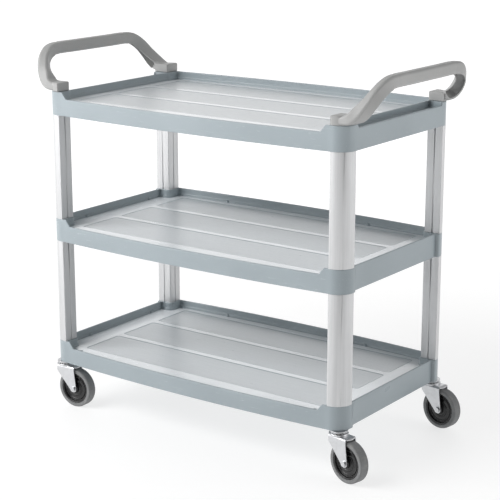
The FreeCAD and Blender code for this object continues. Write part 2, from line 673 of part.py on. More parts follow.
def make_wheel_tyre():
    half = WHEEL_WIDTH / 2
    shoulder = 4.0
    k = shoulder * ARC_INSET
    outer = WHEEL_RADIUS
    profile = [
        ((TYRE_INNER_RADIUS, -half + 1.5), (TYRE_INNER_RADIUS, half - 1.5)),
        ((TYRE_INNER_RADIUS, half - 1.5), (TYRE_INNER_RADIUS + 1.5, half)),
        ((TYRE_INNER_RADIUS + 1.5, half), (outer - shoulder, half)),
        ((outer - shoulder, half), (outer - k, half - k), (outer, half - shoulder)),
        ((outer, half - shoulder), (outer, -half + shoulder)),
        ((outer, -half + shoulder), (outer - k, -half + k), (outer - shoulder, -half)),
        ((outer - shoulder, -half), (TYRE_INNER_RADIUS + 1.5, -half)),
        ((TYRE_INNER_RADIUS + 1.5, -half), (TYRE_INNER_RADIUS, -half + 1.5)),
    ]
    return turned(profile)


def place_caster(shape, corner):
    """Move a caster piece from the swivel axis at the origin to its corner, at its rest angle."""
    sx, sy = CORNERS[corner]
    placed = shape.copy()
    placed.rotate(Vector(0, 0, 0), UP, REST_SWIVEL[corner])
    placed.translate(Vector(sx * PIVOT_X, sy * PIVOT_Y, 0))
    return placed


# ---- the whole trolley --------------------------------------------------------------------------
def all_parts():
    parts = {}
    levels = list(TRAY_BASES.items())
    for name, base in levels:
        tray = make_tray(name)
        for signs in CORNERS.values():
            tray = bore_corner(tray, name, *signs)
        parts[name] = tray
    for level, (low, high) in {"lower": levels[0:2], "upper": levels[1:3]}.items():
        post = make_post(low[1] + TRAY_HEIGHT, high[1])
        for corner, signs in CORNERS.items():
            parts[f"{level}_post_{corner}"] = to_corner(post, *signs)
    handle = make_right_handle()
    parts["right_handle"] = handle
    parts["left_handle"] = handle.mirror(Vector(0, 0, 0), Vector(1, 0, 0))
    parts["handle_inserts"] = at_all_corners(make_insert())
    parts["coupling_nuts"] = at_all_corners(make_coupling_nut())
    rod_shape = make_tie_rod()
    for corner, signs in CORNERS.items():
        parts[f"tie_rod_{corner}"] = to_corner(rod_shape, *signs)
    caster = {
        "caster_stem": make_caster_stem(), "race_balls": make_race_balls(), "fork": make_fork(),
        "axle_bolt": make_axle_bolt(), "axle_nut": make_axle_nut(), "axle_spacer": make_axle_spacer(),
        "wheel_hub": make_wheel_hub(), "wheel_tyre": make_wheel_tyre(),
    }
    for corner in CORNERS:
        for piece, shape in caster.items():
            parts[f"{piece}_{corner}"] = place_caster(shape, corner)
    return parts


os.makedirs("parts", exist_ok=True)
for node, part_shape in all_parts().items():
    part_shape.exportStep("parts/" + node + ".step")
    print(node, "solids", len(part_shape.Solids), "valid", part_shape.isValid(),
          "cm3", round(part_shape.Volume / 1000, 1))
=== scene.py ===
import json
import math

import bmesh
import bpy
from mathutils import Matrix, Vector
from mathutils.geometry import delaunay_2d_cdt


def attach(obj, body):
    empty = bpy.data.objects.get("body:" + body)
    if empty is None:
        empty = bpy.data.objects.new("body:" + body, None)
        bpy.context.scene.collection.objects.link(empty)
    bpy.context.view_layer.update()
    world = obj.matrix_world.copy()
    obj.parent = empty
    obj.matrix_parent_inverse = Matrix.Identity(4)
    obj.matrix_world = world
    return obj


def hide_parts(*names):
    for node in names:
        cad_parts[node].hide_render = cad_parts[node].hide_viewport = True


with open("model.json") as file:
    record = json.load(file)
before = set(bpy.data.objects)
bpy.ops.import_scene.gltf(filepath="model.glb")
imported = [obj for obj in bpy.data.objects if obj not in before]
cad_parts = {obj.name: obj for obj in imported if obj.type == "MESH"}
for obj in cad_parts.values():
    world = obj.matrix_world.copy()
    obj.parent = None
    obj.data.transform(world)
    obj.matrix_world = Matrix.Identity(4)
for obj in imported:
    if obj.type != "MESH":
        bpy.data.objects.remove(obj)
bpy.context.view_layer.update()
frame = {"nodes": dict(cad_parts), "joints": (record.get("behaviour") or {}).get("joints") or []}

nodes = frame["nodes"]

# Sizes are in millimetres unless a comment says otherwise. X runs along the trolley, Y towards the
# high back walls of its trays, Z up.
MM = 0.001
CORNERS = {"front_left": (-1, -1), "front_right": (1, -1), "back_left": (-1, 1), "back_right": (1, 1)}
TRAY_BASES = {"bottom_tray": 119.0, "middle_tray": 440.0, "top_tray": 761.0}
TRAY_HEIGHT = 58.0
HALF_LENGTH = 440.0
HALF_WIDTH = 234.0
POST = 42.0
CORNER_RADIUS = 38.0
CORNER_CENTRE = (HALF_LENGTH - CORNER_RADIUS, -HALF_WIDTH + CORNER_RADIUS)
TOP_RIM = TRAY_BASES["top_tray"] + TRAY_HEIGHT


# ---- shader helpers -----------------------------------------------------------------------------
def srgb(*levels):
    """Linear colour from 0 to 255 display levels."""
    linear = [((v / 255 + 0.055) / 1.055) ** 2.4 if v > 10 else v / 255 / 12.92 for v in levels]
    return (*linear, 1.0)


class Shader:
    """A material's node tree, with short calls for the nodes used here."""

    def __init__(self, name, **sockets):
        self.material = bpy.data.materials.new(name)
        self.material.use_nodes = True
        self.tree = self.material.node_tree
        self.bsdf = self.tree.nodes["Principled BSDF"]
        for key, value in sockets.items():
            self.bsdf.inputs[key.replace("_", " ")].default_value = value
        self.place = self.node("ShaderNodeTexCoord").outputs["Object"]

    def node(self, kind, inputs=None, **settings):
        made = self.tree.nodes.new(kind)
        for key, value in settings.items():
            setattr(made, key, value)
        for key, value in (inputs or {}).items():
            if isinstance(value, bpy.types.NodeSocket):
                self.tree.links.new(value, made.inputs[key])
            else:
                made.inputs[key].default_value = value
        return made

    def scaled(self, scale):
        return self.node("ShaderNodeMapping", {"Vector": self.place, "Scale": scale}).outputs["Vector"]

    def noise(self, scale, detail=3.0, roughness=0.5, distortion=0.0):
        """Noise in object space; scale is repeats per metre along X, Y and Z."""
        return self.node("ShaderNodeTexNoise", {
            "Vector": self.scaled(scale), "Scale": 1.0, "Detail": detail,
            "Roughness": roughness, "Distortion": distortion}).outputs["Fac"]

    def cells(self, scale):
        voronoi = self.node("ShaderNodeTexVoronoi", {"Vector": self.scaled(scale), "Scale": 1.0})
        return voronoi.outputs["Color"]

    def ranged(self, value, low, high, to_low, to_high):
        return self.node("ShaderNodeMapRange", {
            "Value": value, "From Min": low, "From Max": high, "To Min": to_low, "To Max": to_high,
        }).outputs["Result"]

    def math(self, operation, a, b):
        return self.node("ShaderNodeMath", {0: a, 1: b}, operation=operation).outputs["Value"]

    def mix(self, factor, a, b):
        made = self.node("ShaderNodeMix", data_type="RGBA")
        for socket, value in ((made.inputs[0], factor), (made.inputs[6], a), (made.inputs[7], b)):
            if isinstance(value, bpy.types.NodeSocket):
                self.tree.links.new(value, socket)
            else:
                socket.default_value = value
        return made.outputs[2]

    def bump(self, height, strength, distance):
        inputs = {"Height": height, "Strength": strength, "Distance": distance}
        return self.node("ShaderNodeBump", inputs).outputs["Normal"]

    def set(self, **links):
        for key, value in links.items():
            self.tree.links.new(value, self.bsdf.inputs[key.replace("_", " ")])
        return self.material


# ---- materials ----------------------------------------------------------------------------------
def moulded_plastic(name, base, shade, low_rough, high_rough, grain=0.12):
    """Satin moulded plastic: slow colour drift, fine moulded grain, a few rubbed hairlines."""
    s = Shader(name, Specular_IOR_Level=0.45)
    drift = s.noise((5, 5, 9), 3.0)
    speck = s.noise((900, 900, 900), 2.0)
    rubbed = s.noise((14, 420, 300), 4.0, 0.7, 0.6)
    colour = s.mix(s.ranged(drift, 0.3, 0.7, 0, 1), base, shade)
    colour = s.mix(s.ranged(speck, 0.35, 0.65, 0.0, 0.10), colour, srgb(150, 156, 160))
    colour = s.mix(s.ranged(rubbed, 0.62, 0.74, 0.0, 0.30), colour, srgb(236, 240, 242))
    rough = s.math("ADD", s.ranged(drift, 0.3, 0.7, low_rough, high_rough),
                   s.ranged(rubbed, 0.6, 0.75, 0.0, 0.10))
    normal = s.bump(speck, grain, 0.0004)
    return s.set(Base_Color=colour, Roughness=rough, Normal=normal)


def deck_panel_plastic():
    """Deck panels: fine moulded texture with faint streaks that run along the tray. Their colour is painted
    lighter than the tray plastic, as painted light from above and a painted sheen.
    """
    s = Shader("deck_panel_plastic", Specular_IOR_Level=0.9)
    streak = s.noise((12, 170, 40), 4.0, 0.6, 0.4)
    mottle = s.noise((110, 240, 200), 4.0, 0.65)
    drift = s.noise((4, 4, 4), 2.0)
    # painted light: these panel colours are lighter than the tray plastic, standing in for light from above
    # and a sheen of the white surround
    colour = s.mix(s.ranged(streak, 0.3, 0.7, 0, 1), srgb(190, 195, 198), srgb(199, 203, 206))
    colour = s.mix(s.ranged(mottle, 0.4, 0.62, 0.0, 0.22), colour, srgb(182, 188, 192))
    colour = s.mix(s.ranged(drift, 0.35, 0.65, 0.0, 0.25), colour, srgb(208, 211, 213))
    rough = s.math("ADD", s.ranged(streak, 0.3, 0.7, 0.29, 0.35), s.ranged(mottle, 0.4, 0.6, -0.02, 0.03))
    height = s.math("ADD", s.math("MULTIPLY", streak, 0.4), mottle)
    return s.set(Base_Color=colour, Roughness=rough, Normal=s.bump(height, 0.05, 0.0004))


def deck_border_plastic():
    """Smooth glossy strips and borders between the textured panels, painted near white as a painted sheen,
    with light scuffs.
    """
    s = Shader("deck_border_plastic", Specular_IOR_Level=0.9)
    drift = s.noise((6, 9, 9), 2.0)
    scuff = s.noise((30, 320, 200), 4.0, 0.7, 0.5)
    speck = s.noise((900, 900, 900), 2.0)
    # painted sheen: the strips are painted whiter than the panels and the tray plastic, standing in for their
    # reflection of the white surround
    colour = s.mix(s.ranged(drift, 0.3, 0.7, 0, 1), srgb(228, 231, 234), srgb(221, 225, 228))
    colour = s.mix(s.ranged(scuff, 0.6, 0.75, 0.0, 0.25), colour, srgb(206, 211, 214))
    rough = s.math("ADD", s.ranged(drift, 0.3, 0.7, 0.18, 0.24), s.ranged(scuff, 0.55, 0.75, 0.0, 0.12))
    return s.set(Base_Color=colour, Roughness=rough, Normal=s.bump(speck, 0.05, 0.0003))


def satin_aluminium():
    """Anodised extrusion: fine lines along its length, soft blotches, a little handling haze."""
    s = Shader("post_aluminium", Metallic=0.9, Anisotropic=0.2)
    lines = s.noise((420, 420, 4), 3.0, 0.5)
    broad = s.noise((120, 120, 3), 2.0)
    haze = s.noise((30, 30, 14), 3.0)
    colour = s.mix(s.ranged(lines, 0.3, 0.7, 0, 1), srgb(205, 206, 207), srgb(216, 216, 217))
    colour = s.mix(s.ranged(broad, 0.4, 0.65, 0.0, 0.35), colour, srgb(195, 196, 197))
    rough = s.math("ADD", s.ranged(haze, 0.3, 0.7, 0.58, 0.64), s.ranged(lines, 0.35, 0.65, -0.03, 0.04))
    return s.set(Base_Color=colour, Roughness=rough, Normal=s.bump(lines, 0.04, 0.0002))


def zinc_plate():
    """Bright zinc on pressed steel: crystal patches, faint rolling lines and dull spots."""
    s = Shader("zinc_plate", Metallic=1.0)
    patch = s.node("ShaderNodeSeparateColor", {"Color": s.cells((150, 150, 150))}).outputs["Red"]
    dull = s.noise((45, 45, 45), 4.0, 0.6)
    pits = s.noise((500, 500, 500), 3.0)
    colour = s.mix(patch, srgb(200, 201, 203), srgb(206, 207, 209))
    colour = s.mix(s.ranged(dull, 0.55, 0.75, 0.0, 0.35), colour, srgb(172, 172, 172))
    rough = s.math("ADD", s.ranged(patch, 0, 1, 0.30, 0.34), s.ranged(dull, 0.4, 0.7, 0.0, 0.08))
    return s.set(Base_Color=colour, Roughness=rough, Normal=s.bump(pits, 0.04, 0.0003))


def plain_steel():
    """Machined steel with turned lines."""
    s = Shader("plain_steel", Metallic=1.0)
    turned_lines = s.noise((60, 60, 900), 3.0)
    stain = s.noise((80, 80, 80), 4.0)
    colour = s.mix(s.ranged(stain, 0.4, 0.7, 0, 1), srgb(205, 207, 210), srgb(160, 158, 152))
    rough = s.ranged(turned_lines, 0.3, 0.7, 0.22, 0.38)
    return s.set(Base_Color=colour, Roughness=rough, Normal=s.bump(turned_lines, 0.1, 0.0002))


def hub_plastic():
    """Glossy black moulding with fine swirl marks and pale dust."""
    s = Shader("hub_plastic", Specular_IOR_Level=0.5)
    swirl = s.noise((160, 160, 160), 4.0, 0.6, 1.2)
    dust = s.noise((60, 60, 60), 5.0, 0.7)
    colour = s.mix(s.ranged(swirl, 0.35, 0.65, 0, 1), srgb(18, 18, 19), srgb(28, 28, 29))
    colour = s.mix(s.ranged(dust, 0.55, 0.8, 0.0, 0.16), colour, srgb(118, 118, 118))
    rough = s.math("ADD", s.ranged(swirl, 0.3, 0.7, 0.20, 0.28), s.ranged(dust, 0.5, 0.8, 0.0, 0.15))
    return s.set(Base_Color=colour, Roughness=rough, Normal=s.bump(swirl, 0.05, 0.0003))


def tyre_rubber():
    """Grey non-marking rubber: matt, finely pitted, scuffed and dusty."""
    s = Shader("tyre_rubber", Specular_IOR_Level=0.3)
    pits = s.noise((700, 700, 700), 3.0, 0.6)
    scuff = s.noise((90, 90, 90), 5.0, 0.7, 0.8)
    drift = s.noise((25, 25, 25), 2.0)
    colour = s.mix(s.ranged(drift, 0.3, 0.7, 0, 1), srgb(116, 117, 118), srgb(130, 131, 132))
    colour = s.mix(s.ranged(scuff, 0.5, 0.72, 0.0, 0.45), colour, srgb(158, 157, 152))
    colour = s.mix(s.ranged(pits, 0.3, 0.45, 0.3, 0.0), colour, srgb(78, 79, 80))
    rough = s.ranged(scuff, 0.3, 0.7, 0.62, 0.85)
    return s.set(Base_Color=colour, Roughness=rough, Normal=s.bump(pits, 0.25, 0.0004))


TRAY = moulded_plastic("tray_plastic", srgb(153, 163, 168), srgb(146, 156, 161), 0.27, 0.36)
DECK_BORDER = deck_border_plastic()
DECK_PANEL = deck_panel_plastic()
HANDLE = moulded_plastic("handle_plastic", srgb(164, 164, 163), srgb(157, 157, 156), 0.42, 0.54, 0.2)
ALUMINIUM = satin_aluminium()
ZINC = zinc_plate()
STEEL = plain_steel()
HUB = hub_plastic()
RUBBER = tyre_rubber()


# ---- mesh helpers -------------------------------------------------------------------------------
def new_piece(name, mesh, materials, body, replaced):
    """Object from a finished mesh, riding on a body and standing for the given CAD nodes."""
    piece = bpy.data.objects.new(name, mesh)
    bpy.context.scene.collection.objects.link(piece)
    for material in materials:
        mesh.materials.append(material)
    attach(piece, body)
    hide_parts(*replaced)
    return piece


# ---- building meshes ----------------------------------------------------------------------------
class Surface:
    """Points in millimetres and faces of one moulding, gathered ring by ring."""

    def __init__(self):
        self.points = []
        self.faces = []
        self.marks = []

    def ring(self, points):
        start = len(self.points)
        self.points += points
        return list(range(start, len(self.points)))

    def face(self, corners, mark=0):
        self.faces.append(corners)
        self.marks.append(mark)

    def skin(self, rings, mark=0, closed=True):
        """Quads between successive rings of equal length."""
        for a, b in zip(rings, rings[1:]):
            count = len(a) if closed else len(a) - 1
            for i in range(count):
                j = (i + 1) % len(a)
                self.face((a[i], a[j], b[j], b[i]), mark)

    def fill(self, border, holes=(), mark=0):
        """Flat triangulation between a border ring and the rings of its holes."""
        used = [i for ring in (border, *holes) for i in ring]
        flat = [Vector(self.points[i][:2]) for i in used]
        edges = []
        start = 0
        for ring in (border, *holes):
            edges += [(start + i, start + (i + 1) % len(ring)) for i in range(len(ring))]
            start += len(ring)
        result = delaunay_2d_cdt(flat, edges, [], 1, 1e-6)
        origin = [sources[0] for sources in result[3]]
        cuts = [[self.points[i] for i in ring] for ring in holes]
        for corners in result[2]:
            middle = sum((result[0][i] for i in corners), Vector((0, 0))) / 3
            if not any(encloses(cut, middle) for cut in cuts):
                self.face(tuple(used[origin[i]] for i in corners), mark)

    def mesh(self, name):
        made = bpy.data.meshes.new(name)
        made.from_pydata([Vector(p) * MM for p in self.points], [], self.faces)
        made.polygons.foreach_set("material_index", self.marks)
        bm = bmesh.new()
        bm.from_mesh(made)
        bmesh.ops.recalc_face_normals(bm, faces=bm.faces)
        bm.to_mesh(made)
        bm.free()
        made.shade_smooth()
        return made


def encloses(loop, point):
    """Whether a closed plan goes round a point."""
    inside = False
    for a, b in zip(loop, loop[1:] + loop[:1]):
        if (a[1] > point.y) != (b[1] > point.y):
            if point.x < a[0] + (b[0] - a[0]) * (point.y - a[1]) / (b[1] - a[1]):
                inside = not inside
    return inside


def offset(loop, inward):
    """Closed counter-clockwise plan moved inwards by a distance, or one distance per point."""
    moved = []
    count = len(loop)
    for i, (x, y) in enumerate(loop):
        before, after = loop[i - 1], loop[(i + 1) % count]
        a = Vector((x - before[0], y - before[1])).normalized()
        b = Vector((after[0] - x, after[1] - y)).normalized()
        na, nb = Vector((-a.y, a.x)), Vector((-b.y, b.x))
        step = (na + nb) / (1 + na.dot(nb)) * (inward[i] if isinstance(inward, list) else inward)
        moved.append((x + step.x, y + step.y))
    return moved


def four_quarters(quarter):
    """Whole plan from its front-right quarter, listed from mid-front round to mid-right."""
    right = quarter + [(x, -y) for x, y in reversed(quarter[:-1])]
    return right + [(-x, y) for x, y in reversed(right[1:-1])]


def arc_points(centre, radius, start, end, steps):
    """Points on an arc between two angles in degrees, both ends included."""
    angles = [math.radians(start + (end - start) * i / steps) for i in range(steps + 1)]
    return [(centre[0] + radius * math.cos(a), centre[1] + radius * math.sin(a)) for a in angles]


# ---- trays --------------------------------------------------------------------------------------
BOW = 15.0
BLOCK = 47.0                # corner block, a little larger than the post towards the deck
BLOCK_RADIUS = 14.0
BLOCK_CENTRE = (HALF_LENGTH - BLOCK + BLOCK_RADIUS, -HALF_WIDTH + BLOCK - BLOCK_RADIUS)
BLOCK_SIDE = -214.0         # where the plan of the well meets the side of a corner block
BOW_REACH = HALF_LENGTH - BLOCK     # the bowed part of a side ends at the corner blocks
BLOCK_EDGE = HALF_WIDTH - BLOCK
LOW_END = 432.0             # the ends of the two lower trays sit inside their corner blocks
LOW_WELL_END = 427.0
TOP_WELL_END = 398.0
SKIN = 4.0                  # thickness of the skirt round the hollow below the deck
END_STATIONS = (-120, -60, 0)
LIP = 2.0                   # rounding of the rim
SLOPE_START, SLOPE_RUN = 373.0, 13.0    # where the low front edge starts to rise, and over what length
SLOPE_EASE = 1.5            # softening of both ends of the slope
FRONT_DROP = 16.0
FRONT_LIMIT = -181.0        # only the wall in front of this row is low
WALL = 5.0
FOOT_STEP = 1.5             # the wall's foot stands this much proud
DECK = 37.0
UNDER_DECK = 33.0
DECK_FILLET = 2.0
# how far the foot of a wall stands proud at each height
WALL_FOOT = ((0.0, DECK + 7.2), (0.4, DECK + 6.4), (1.0, DECK + 5.9), (FOOT_STEP, DECK + 5.0))
ROW_GAP = 0.15              # rows of the foot keep this far apart under the low front edge
TROUGH_EDGE = 184.5
TROUGH_DROP = 8.0           # the end skirts of the top tray are this much lower than its rim
TROUGH_OUTER = 436.0
TROUGH_INNER = 402.0
TROUGH_DEPTH = 15.0
TROUGH_LIP = 1.2
TROUGH_FILLET = 1.8
PANELS = ((-196.0, -68.0), (-50.0, 76.0), (94.0, 214.0))
PANEL_HALF_LENGTH = 366.0
PANEL_RADIUS = 9.0
# (inset, depth below the deck) of each ring round a panel, then round a drain hole
PANEL_EDGE = ((0, 0), (1.0, 0.15), (2.4, 0.45), (3.4, 0.6))
DRAIN_EDGE = ((0, 0), (0.4, 0.2), (0.6, 0.8), (0.6, DECK - UNDER_DECK))
DRAIN_RADIUS = 4.8
DRAIN_COLUMNS = (-378.0, -358.0, 358.0, 378.0)
DRAIN_ROW = -221.0
# (inset, height above the tray's underside) of each ring of the hollow, then of a rib
HOLLOW_ROWS = ((0, 0), (0, 31.5), (0.5, 32.6), (1.5, UNDER_DECK))
RIB_ROWS = ((0.5, 21.5), (0, 22.2), (0, 33.6))
CROSS_RIBS = (-300.0, -180.0, -60.0, 60.0, 180.0, 300.0)
LONG_RIBS = (-78.0, 70.0)
RIB_REACH = 228.0
HALF_RIB = 1.5
BACK_NUBS = (-234.0, 209.0)
END_NUBS = (141.0, -111.0)
# (reach from the wall, half width, height above the deck) of each ring of a nub
NUB_ROWS = ((-1.5, 6.0, 6.5), (0.8, 6.0, 6.3), (2.6, 5.2, 5.0), (3.6, 4.0, 2.6), (3.8, 3.4, -1.0))
SIDE_STATIONS = [16.0 * i for i in range(24)] + [369.0 + i for i in range(21)] + [BOW_REACH]


def bow(x):
    """How far a long side swells outwards at this station."""
    radius = (BOW_REACH ** 2 + BOW ** 2) / (2 * BOW)
    return math.sqrt(radius ** 2 - x * x) - radius + BOW if abs(x) < BOW_REACH else 0.0


def front_share(x, y):
    """1 along the low front edge, 0 elsewhere, with softened ends to the slope between."""
    if y > FRONT_LIMIT:
        return 0.0

    def ramp(t):
        return 0.0 if t < 0 else t * t / 2 / SLOPE_RUN if t < SLOPE_RUN else t - SLOPE_RUN / 2

    distance = abs(x) - SLOPE_START
    return 1.0 - (ramp(distance + SLOPE_EASE) - ramp(distance - SLOPE_EASE)) / (2 * SLOPE_EASE)


def rim_height(x, y, top_tray):
    """Height of the rim above the tray's underside."""
    if top_tray and abs(x) > TROUGH_OUTER - 1 and abs(y) < TROUGH_EDGE + 0.1:
        return TRAY_HEIGHT - TROUGH_DROP
    return TRAY_HEIGHT - FRONT_DROP * front_share(x, y)


def side_run(inset):
    """Front side from its middle to the corner block."""
    return [(x, -(HALF_WIDTH - inset + bow(x))) for x in SIDE_STATIONS]


def outer_plan(top_tray):
    """Outline of a tray's skirt; the ends of the lower trays step in between their corner blocks."""
    quarter = side_run(0) + arc_points(CORNER_CENTRE, CORNER_RADIUS, -90, 0, 14)
    end = HALF_LENGTH if top_tray else LOW_END
    step = (HALF_LENGTH, -TROUGH_EDGE) if top_tray else (LOW_END, -BLOCK_EDGE)
    return four_quarters(quarter + [(HALF_LENGTH, -BLOCK_EDGE), step] + [(end, y) for y in END_STATIONS])


def inner_plan(inset, end):
    """Plan of the well or the hollow below it, which passes round the corner blocks."""
    block = arc_points(BLOCK_CENTRE, BLOCK_RADIUS, 180, 90, 8)
    quarter = side_run(inset) + [(BOW_REACH, BLOCK_SIDE)] + [p for p in block if p[0] < end - 1]
    if end < BLOCK_CENTRE[0]:
        rise = math.sqrt(BLOCK_RADIUS ** 2 - (BLOCK_CENTRE[0] - end) ** 2)
        quarter.append((end, BLOCK_CENTRE[1] + rise))
    else:
        quarter.append((end, -BLOCK_EDGE))
    return four_quarters(quarter + [(end, y) for y in END_STATIONS])


def rings_of(surface, plan, profile, base):
    """One ring per (offset, z) row; rows may be functions of the rim height at each point."""
    rings = []
    for row in profile:
        rows = [row(*p) for p in plan]
        moved = offset(plan, [r[0] for r in rows])
        rings.append(surface.ring([(p[0], p[1], base + r[1]) for p, r in zip(moved, rows)]))
    return rings


def quarter_turn(steps=4):
    return [math.pi / 2 * i / steps for i in range(steps + 1)]


def outer_profile(top_tray):
    """Skirt from the underside up to the rim."""
    rows = [lambda x, y: (1.0, 0.0), lambda x, y: (0.3, 0.3), lambda x, y: (0.0, 1.0)]
    for a in quarter_turn():
        rows.append(lambda x, y, a=a: (LIP - LIP * math.cos(a),
                                       rim_height(x, y, top_tray) - LIP + LIP * math.sin(a)))
    return rows


def inner_profile():
    """Inside of the walls from the rim down to the deck."""
    rows = []
    for a in quarter_turn():
        rows.append(lambda x, y, a=a: (LIP * math.sin(a) - LIP + FOOT_STEP * front_share(x, y),
                                       rim_height(x, y, False) - LIP + LIP * math.cos(a)))
    for k, (out, z) in enumerate(WALL_FOOT):
        rows.append(lambda x, y, k=k, out=out, z=z: (
            max(out, FOOT_STEP * front_share(x, y)),
            min(z, rim_height(x, y, False) - LIP - ROW_GAP * (k + 1))))
    for a in quarter_turn():
        rows.append(lambda x, y, a=a: (FOOT_STEP + DECK_FILLET * (1 - math.cos(a)),
                                       DECK + DECK_FILLET * (1 - math.sin(a))))
    return rows


def trough_plan(side):
    """Plan of the trough between the end skirt and the raised inner wall of the top tray."""
    middle = 420.0
    right = [(TROUGH_INNER, -BLOCK_EDGE), (middle, -BLOCK_EDGE)]
    right += [(TROUGH_OUTER, y) for y in (-BLOCK_EDGE, -TROUGH_EDGE, 0, TROUGH_EDGE, BLOCK_EDGE)]
    right += [(middle, BLOCK_EDGE), (TROUGH_INNER, BLOCK_EDGE), (TROUGH_INNER, 0)]
    return right if side > 0 else [(-x, y) for x, y in reversed(right)]


def trough_profile():
    """Sides of a trough from its rim down to its floor."""
    floor = TRAY_HEIGHT - TROUGH_DEPTH
    rows = []
    for a in quarter_turn():
        rows.append(lambda x, y, a=a: (TROUGH_LIP * math.sin(a) - TROUGH_LIP,
                                       rim_height(x, y, True) - TROUGH_LIP + TROUGH_LIP * math.cos(a)))
    for a in quarter_turn():
        rows.append(lambda x, y, a=a: (TROUGH_FILLET - TROUGH_FILLET * math.cos(a),
                                       floor + TROUGH_FILLET - TROUGH_FILLET * math.sin(a)))
    return rows


def rounded_rectangle(x0, y0, x1, y1, radius, steps=6):
    corners = (((x0 + radius, y0 + radius), 180), ((x1 - radius, y0 + radius), 270),
               ((x1 - radius, y1 - radius), 0), ((x0 + radius, y1 - radius), 90))
    return [p for centre, start in corners for p in arc_points(centre, radius, start, start + 90, steps)]


def level_rings(surface, plan, rows, base):
    """One level ring per (inset, height) row."""
    return [surface.ring([(x, y, base + z) for x, y in offset(plan, out)]) for out, z in rows]


def add_panels(surface, base):
    """Recessed textured panels; returns the rings where they leave the deck."""
    holes = []
    for low, high in PANELS:
        plan = rounded_rectangle(-PANEL_HALF_LENGTH, low, PANEL_HALF_LENGTH, high, PANEL_RADIUS)
        rings = level_rings(surface, plan, [(out, DECK - drop) for out, drop in PANEL_EDGE], base)
        surface.skin(rings)
        surface.fill(rings[-1], mark=1)
        holes.append(rings[0])
    return holes


def add_drains(surface, base):
    """Two drain holes at each front corner; returns their rings on the deck and underneath."""
    above, below = [], []
    for x in DRAIN_COLUMNS:
        plan = arc_points((x, DRAIN_ROW), DRAIN_RADIUS, 0, 345, 23)
        rings = level_rings(surface, plan, [(out, DECK - drop) for out, drop in DRAIN_EDGE], base)
        surface.skin(rings)
        above.append(rings[0])
        below.append(rings[-1])
    return above, below


def add_ribs(surface, base, hollow_end):
    """Stiffening ribs under the deck."""
    boxes = [(x - HALF_RIB, -(RIB_REACH + bow(x)), x + HALF_RIB, RIB_REACH + bow(x)) for x in CROSS_RIBS]
    boxes += [(-hollow_end, y - HALF_RIB, hollow_end, y + HALF_RIB) for y in LONG_RIBS]
    for x0, y0, x1, y1 in boxes:
        plan = [(x0, y0), (x1, y0), (x1, y1), (x0, y1)]
        rings = level_rings(surface, plan, RIB_ROWS, base)
        surface.skin(rings)
        surface.face(tuple(rings[0]))
        surface.face(tuple(rings[-1]))


def tray_surface(base, top_tray):
    """Whole moulding of one tray: skirt, walls, deck and the hollow below it."""
    surface = Surface()
    outside = rings_of(surface, outer_plan(top_tray), outer_profile(top_tray), base)
    surface.skin(outside)
    well_end = TOP_WELL_END if top_tray else LOW_WELL_END
    inside = rings_of(surface, inner_plan(WALL, well_end), inner_profile(), base)
    surface.skin(inside)
    troughs = []
    if top_tray:
        for side in (-1, 1):
            rings = rings_of(surface, trough_plan(side), trough_profile(), base)
            surface.skin(rings)
            surface.fill(rings[-1])
            troughs.append(rings[0])
    surface.fill(outside[-1], [inside[0], *troughs])
    panels = add_panels(surface, base)
    above, below = add_drains(surface, base)
    surface.fill(inside[-1], panels + above, mark=2)
    hollow_end = (HALF_LENGTH if top_tray else LOW_END) - SKIN
    hollow = level_rings(surface, inner_plan(SKIN, hollow_end), HOLLOW_ROWS, base)
    surface.skin(hollow)
    surface.fill(outside[0], [hollow[0]])
    surface.fill(hollow[-1], below)
    add_ribs(surface, base, hollow_end - 1)
    return surface


def wall_nubs(surface, base):
    """Small half-round locating nubs at the foot of the walls."""
    back, end = HALF_WIDTH - WALL - FOOT_STEP, LOW_WELL_END - FOOT_STEP
    places = [((x, back + bow(x)), (1, 0), (0, -1)) for x in BACK_NUBS]
    places += [((side * end, y), (0, 1), (-side, 0)) for side in (-1, 1) for y in END_NUBS]
    for centre, along, out in places:
        rings = []
        for reach, half, top in NUB_ROWS:
            points = []
            for across, up in arc_points((0, 0), 1.0, 0, 180, 8):
                points.append((centre[0] + out[0] * reach + along[0] * half * across,
                               centre[1] + out[1] * reach + along[1] * half * across,
                               base + DECK - 1 + (top + 1) * up))
            rings.append(surface.ring(points))
        surface.skin(rings)
        surface.face(tuple(rings[0]))
        surface.face(tuple(rings[-1]))


def build_trays():
    for node, base in TRAY_BASES.items():
        top_tray = node == "top_tray"
        surface = tray_surface(base, top_tray)
        if not top_tray:
            wall_nubs(surface, base)
        mesh = surface.mesh(node + "_moulding")
        piece = new_piece(node + "_moulding", mesh, [TRAY, DECK_PANEL, DECK_BORDER],
                          "cart", [node])
        flat_shading(piece)


def flat_shading(piece):
    """Let the large flats set the shading of the small roundings between them."""
    weighted = piece.modifiers.new("flats", "WEIGHTED_NORMAL")
    weighted.weight = 100


# ---- posts --------------------------------------------------------------------------------------
POST_SPANS = {"lower": ("bottom_tray", "middle_tray"), "upper": ("middle_tray", "top_tray")}
GROOVE_HALF = 1.5
GROOVE_DEPTH = 1.2
GROOVE_EASE = 0.3


def post_plan():
    """Front-right extrusion: quarter-round outside, a groove in the middle of each inner face."""
    left, back = HALF_LENGTH - POST, -HALF_WIDTH + POST
    centre_x, centre_y = HALF_LENGTH - POST / 2, -HALF_WIDTH + POST / 2
    groove = [(GROOVE_HALF + GROOVE_EASE, 0.0), (GROOVE_HALF, GROOVE_EASE), (GROOVE_HALF, GROOVE_DEPTH)]
    groove += [(-along, depth) for along, depth in reversed(groove)]
    plan = arc_points((left + 1, -HALF_WIDTH + 1), 1, 180, 270, 3)
    plan += arc_points(CORNER_CENTRE, CORNER_RADIUS, -90, 0, 24)
    plan += arc_points((HALF_LENGTH - 1, back - 1), 1, 0, 90, 3)
    plan += [(centre_x + along, back - depth) for along, depth in groove]
    plan += arc_points((left + 2, back - 2), 2, 90, 180, 4)
    plan += [(left + depth, centre_y + along) for along, depth in groove]
    return plan


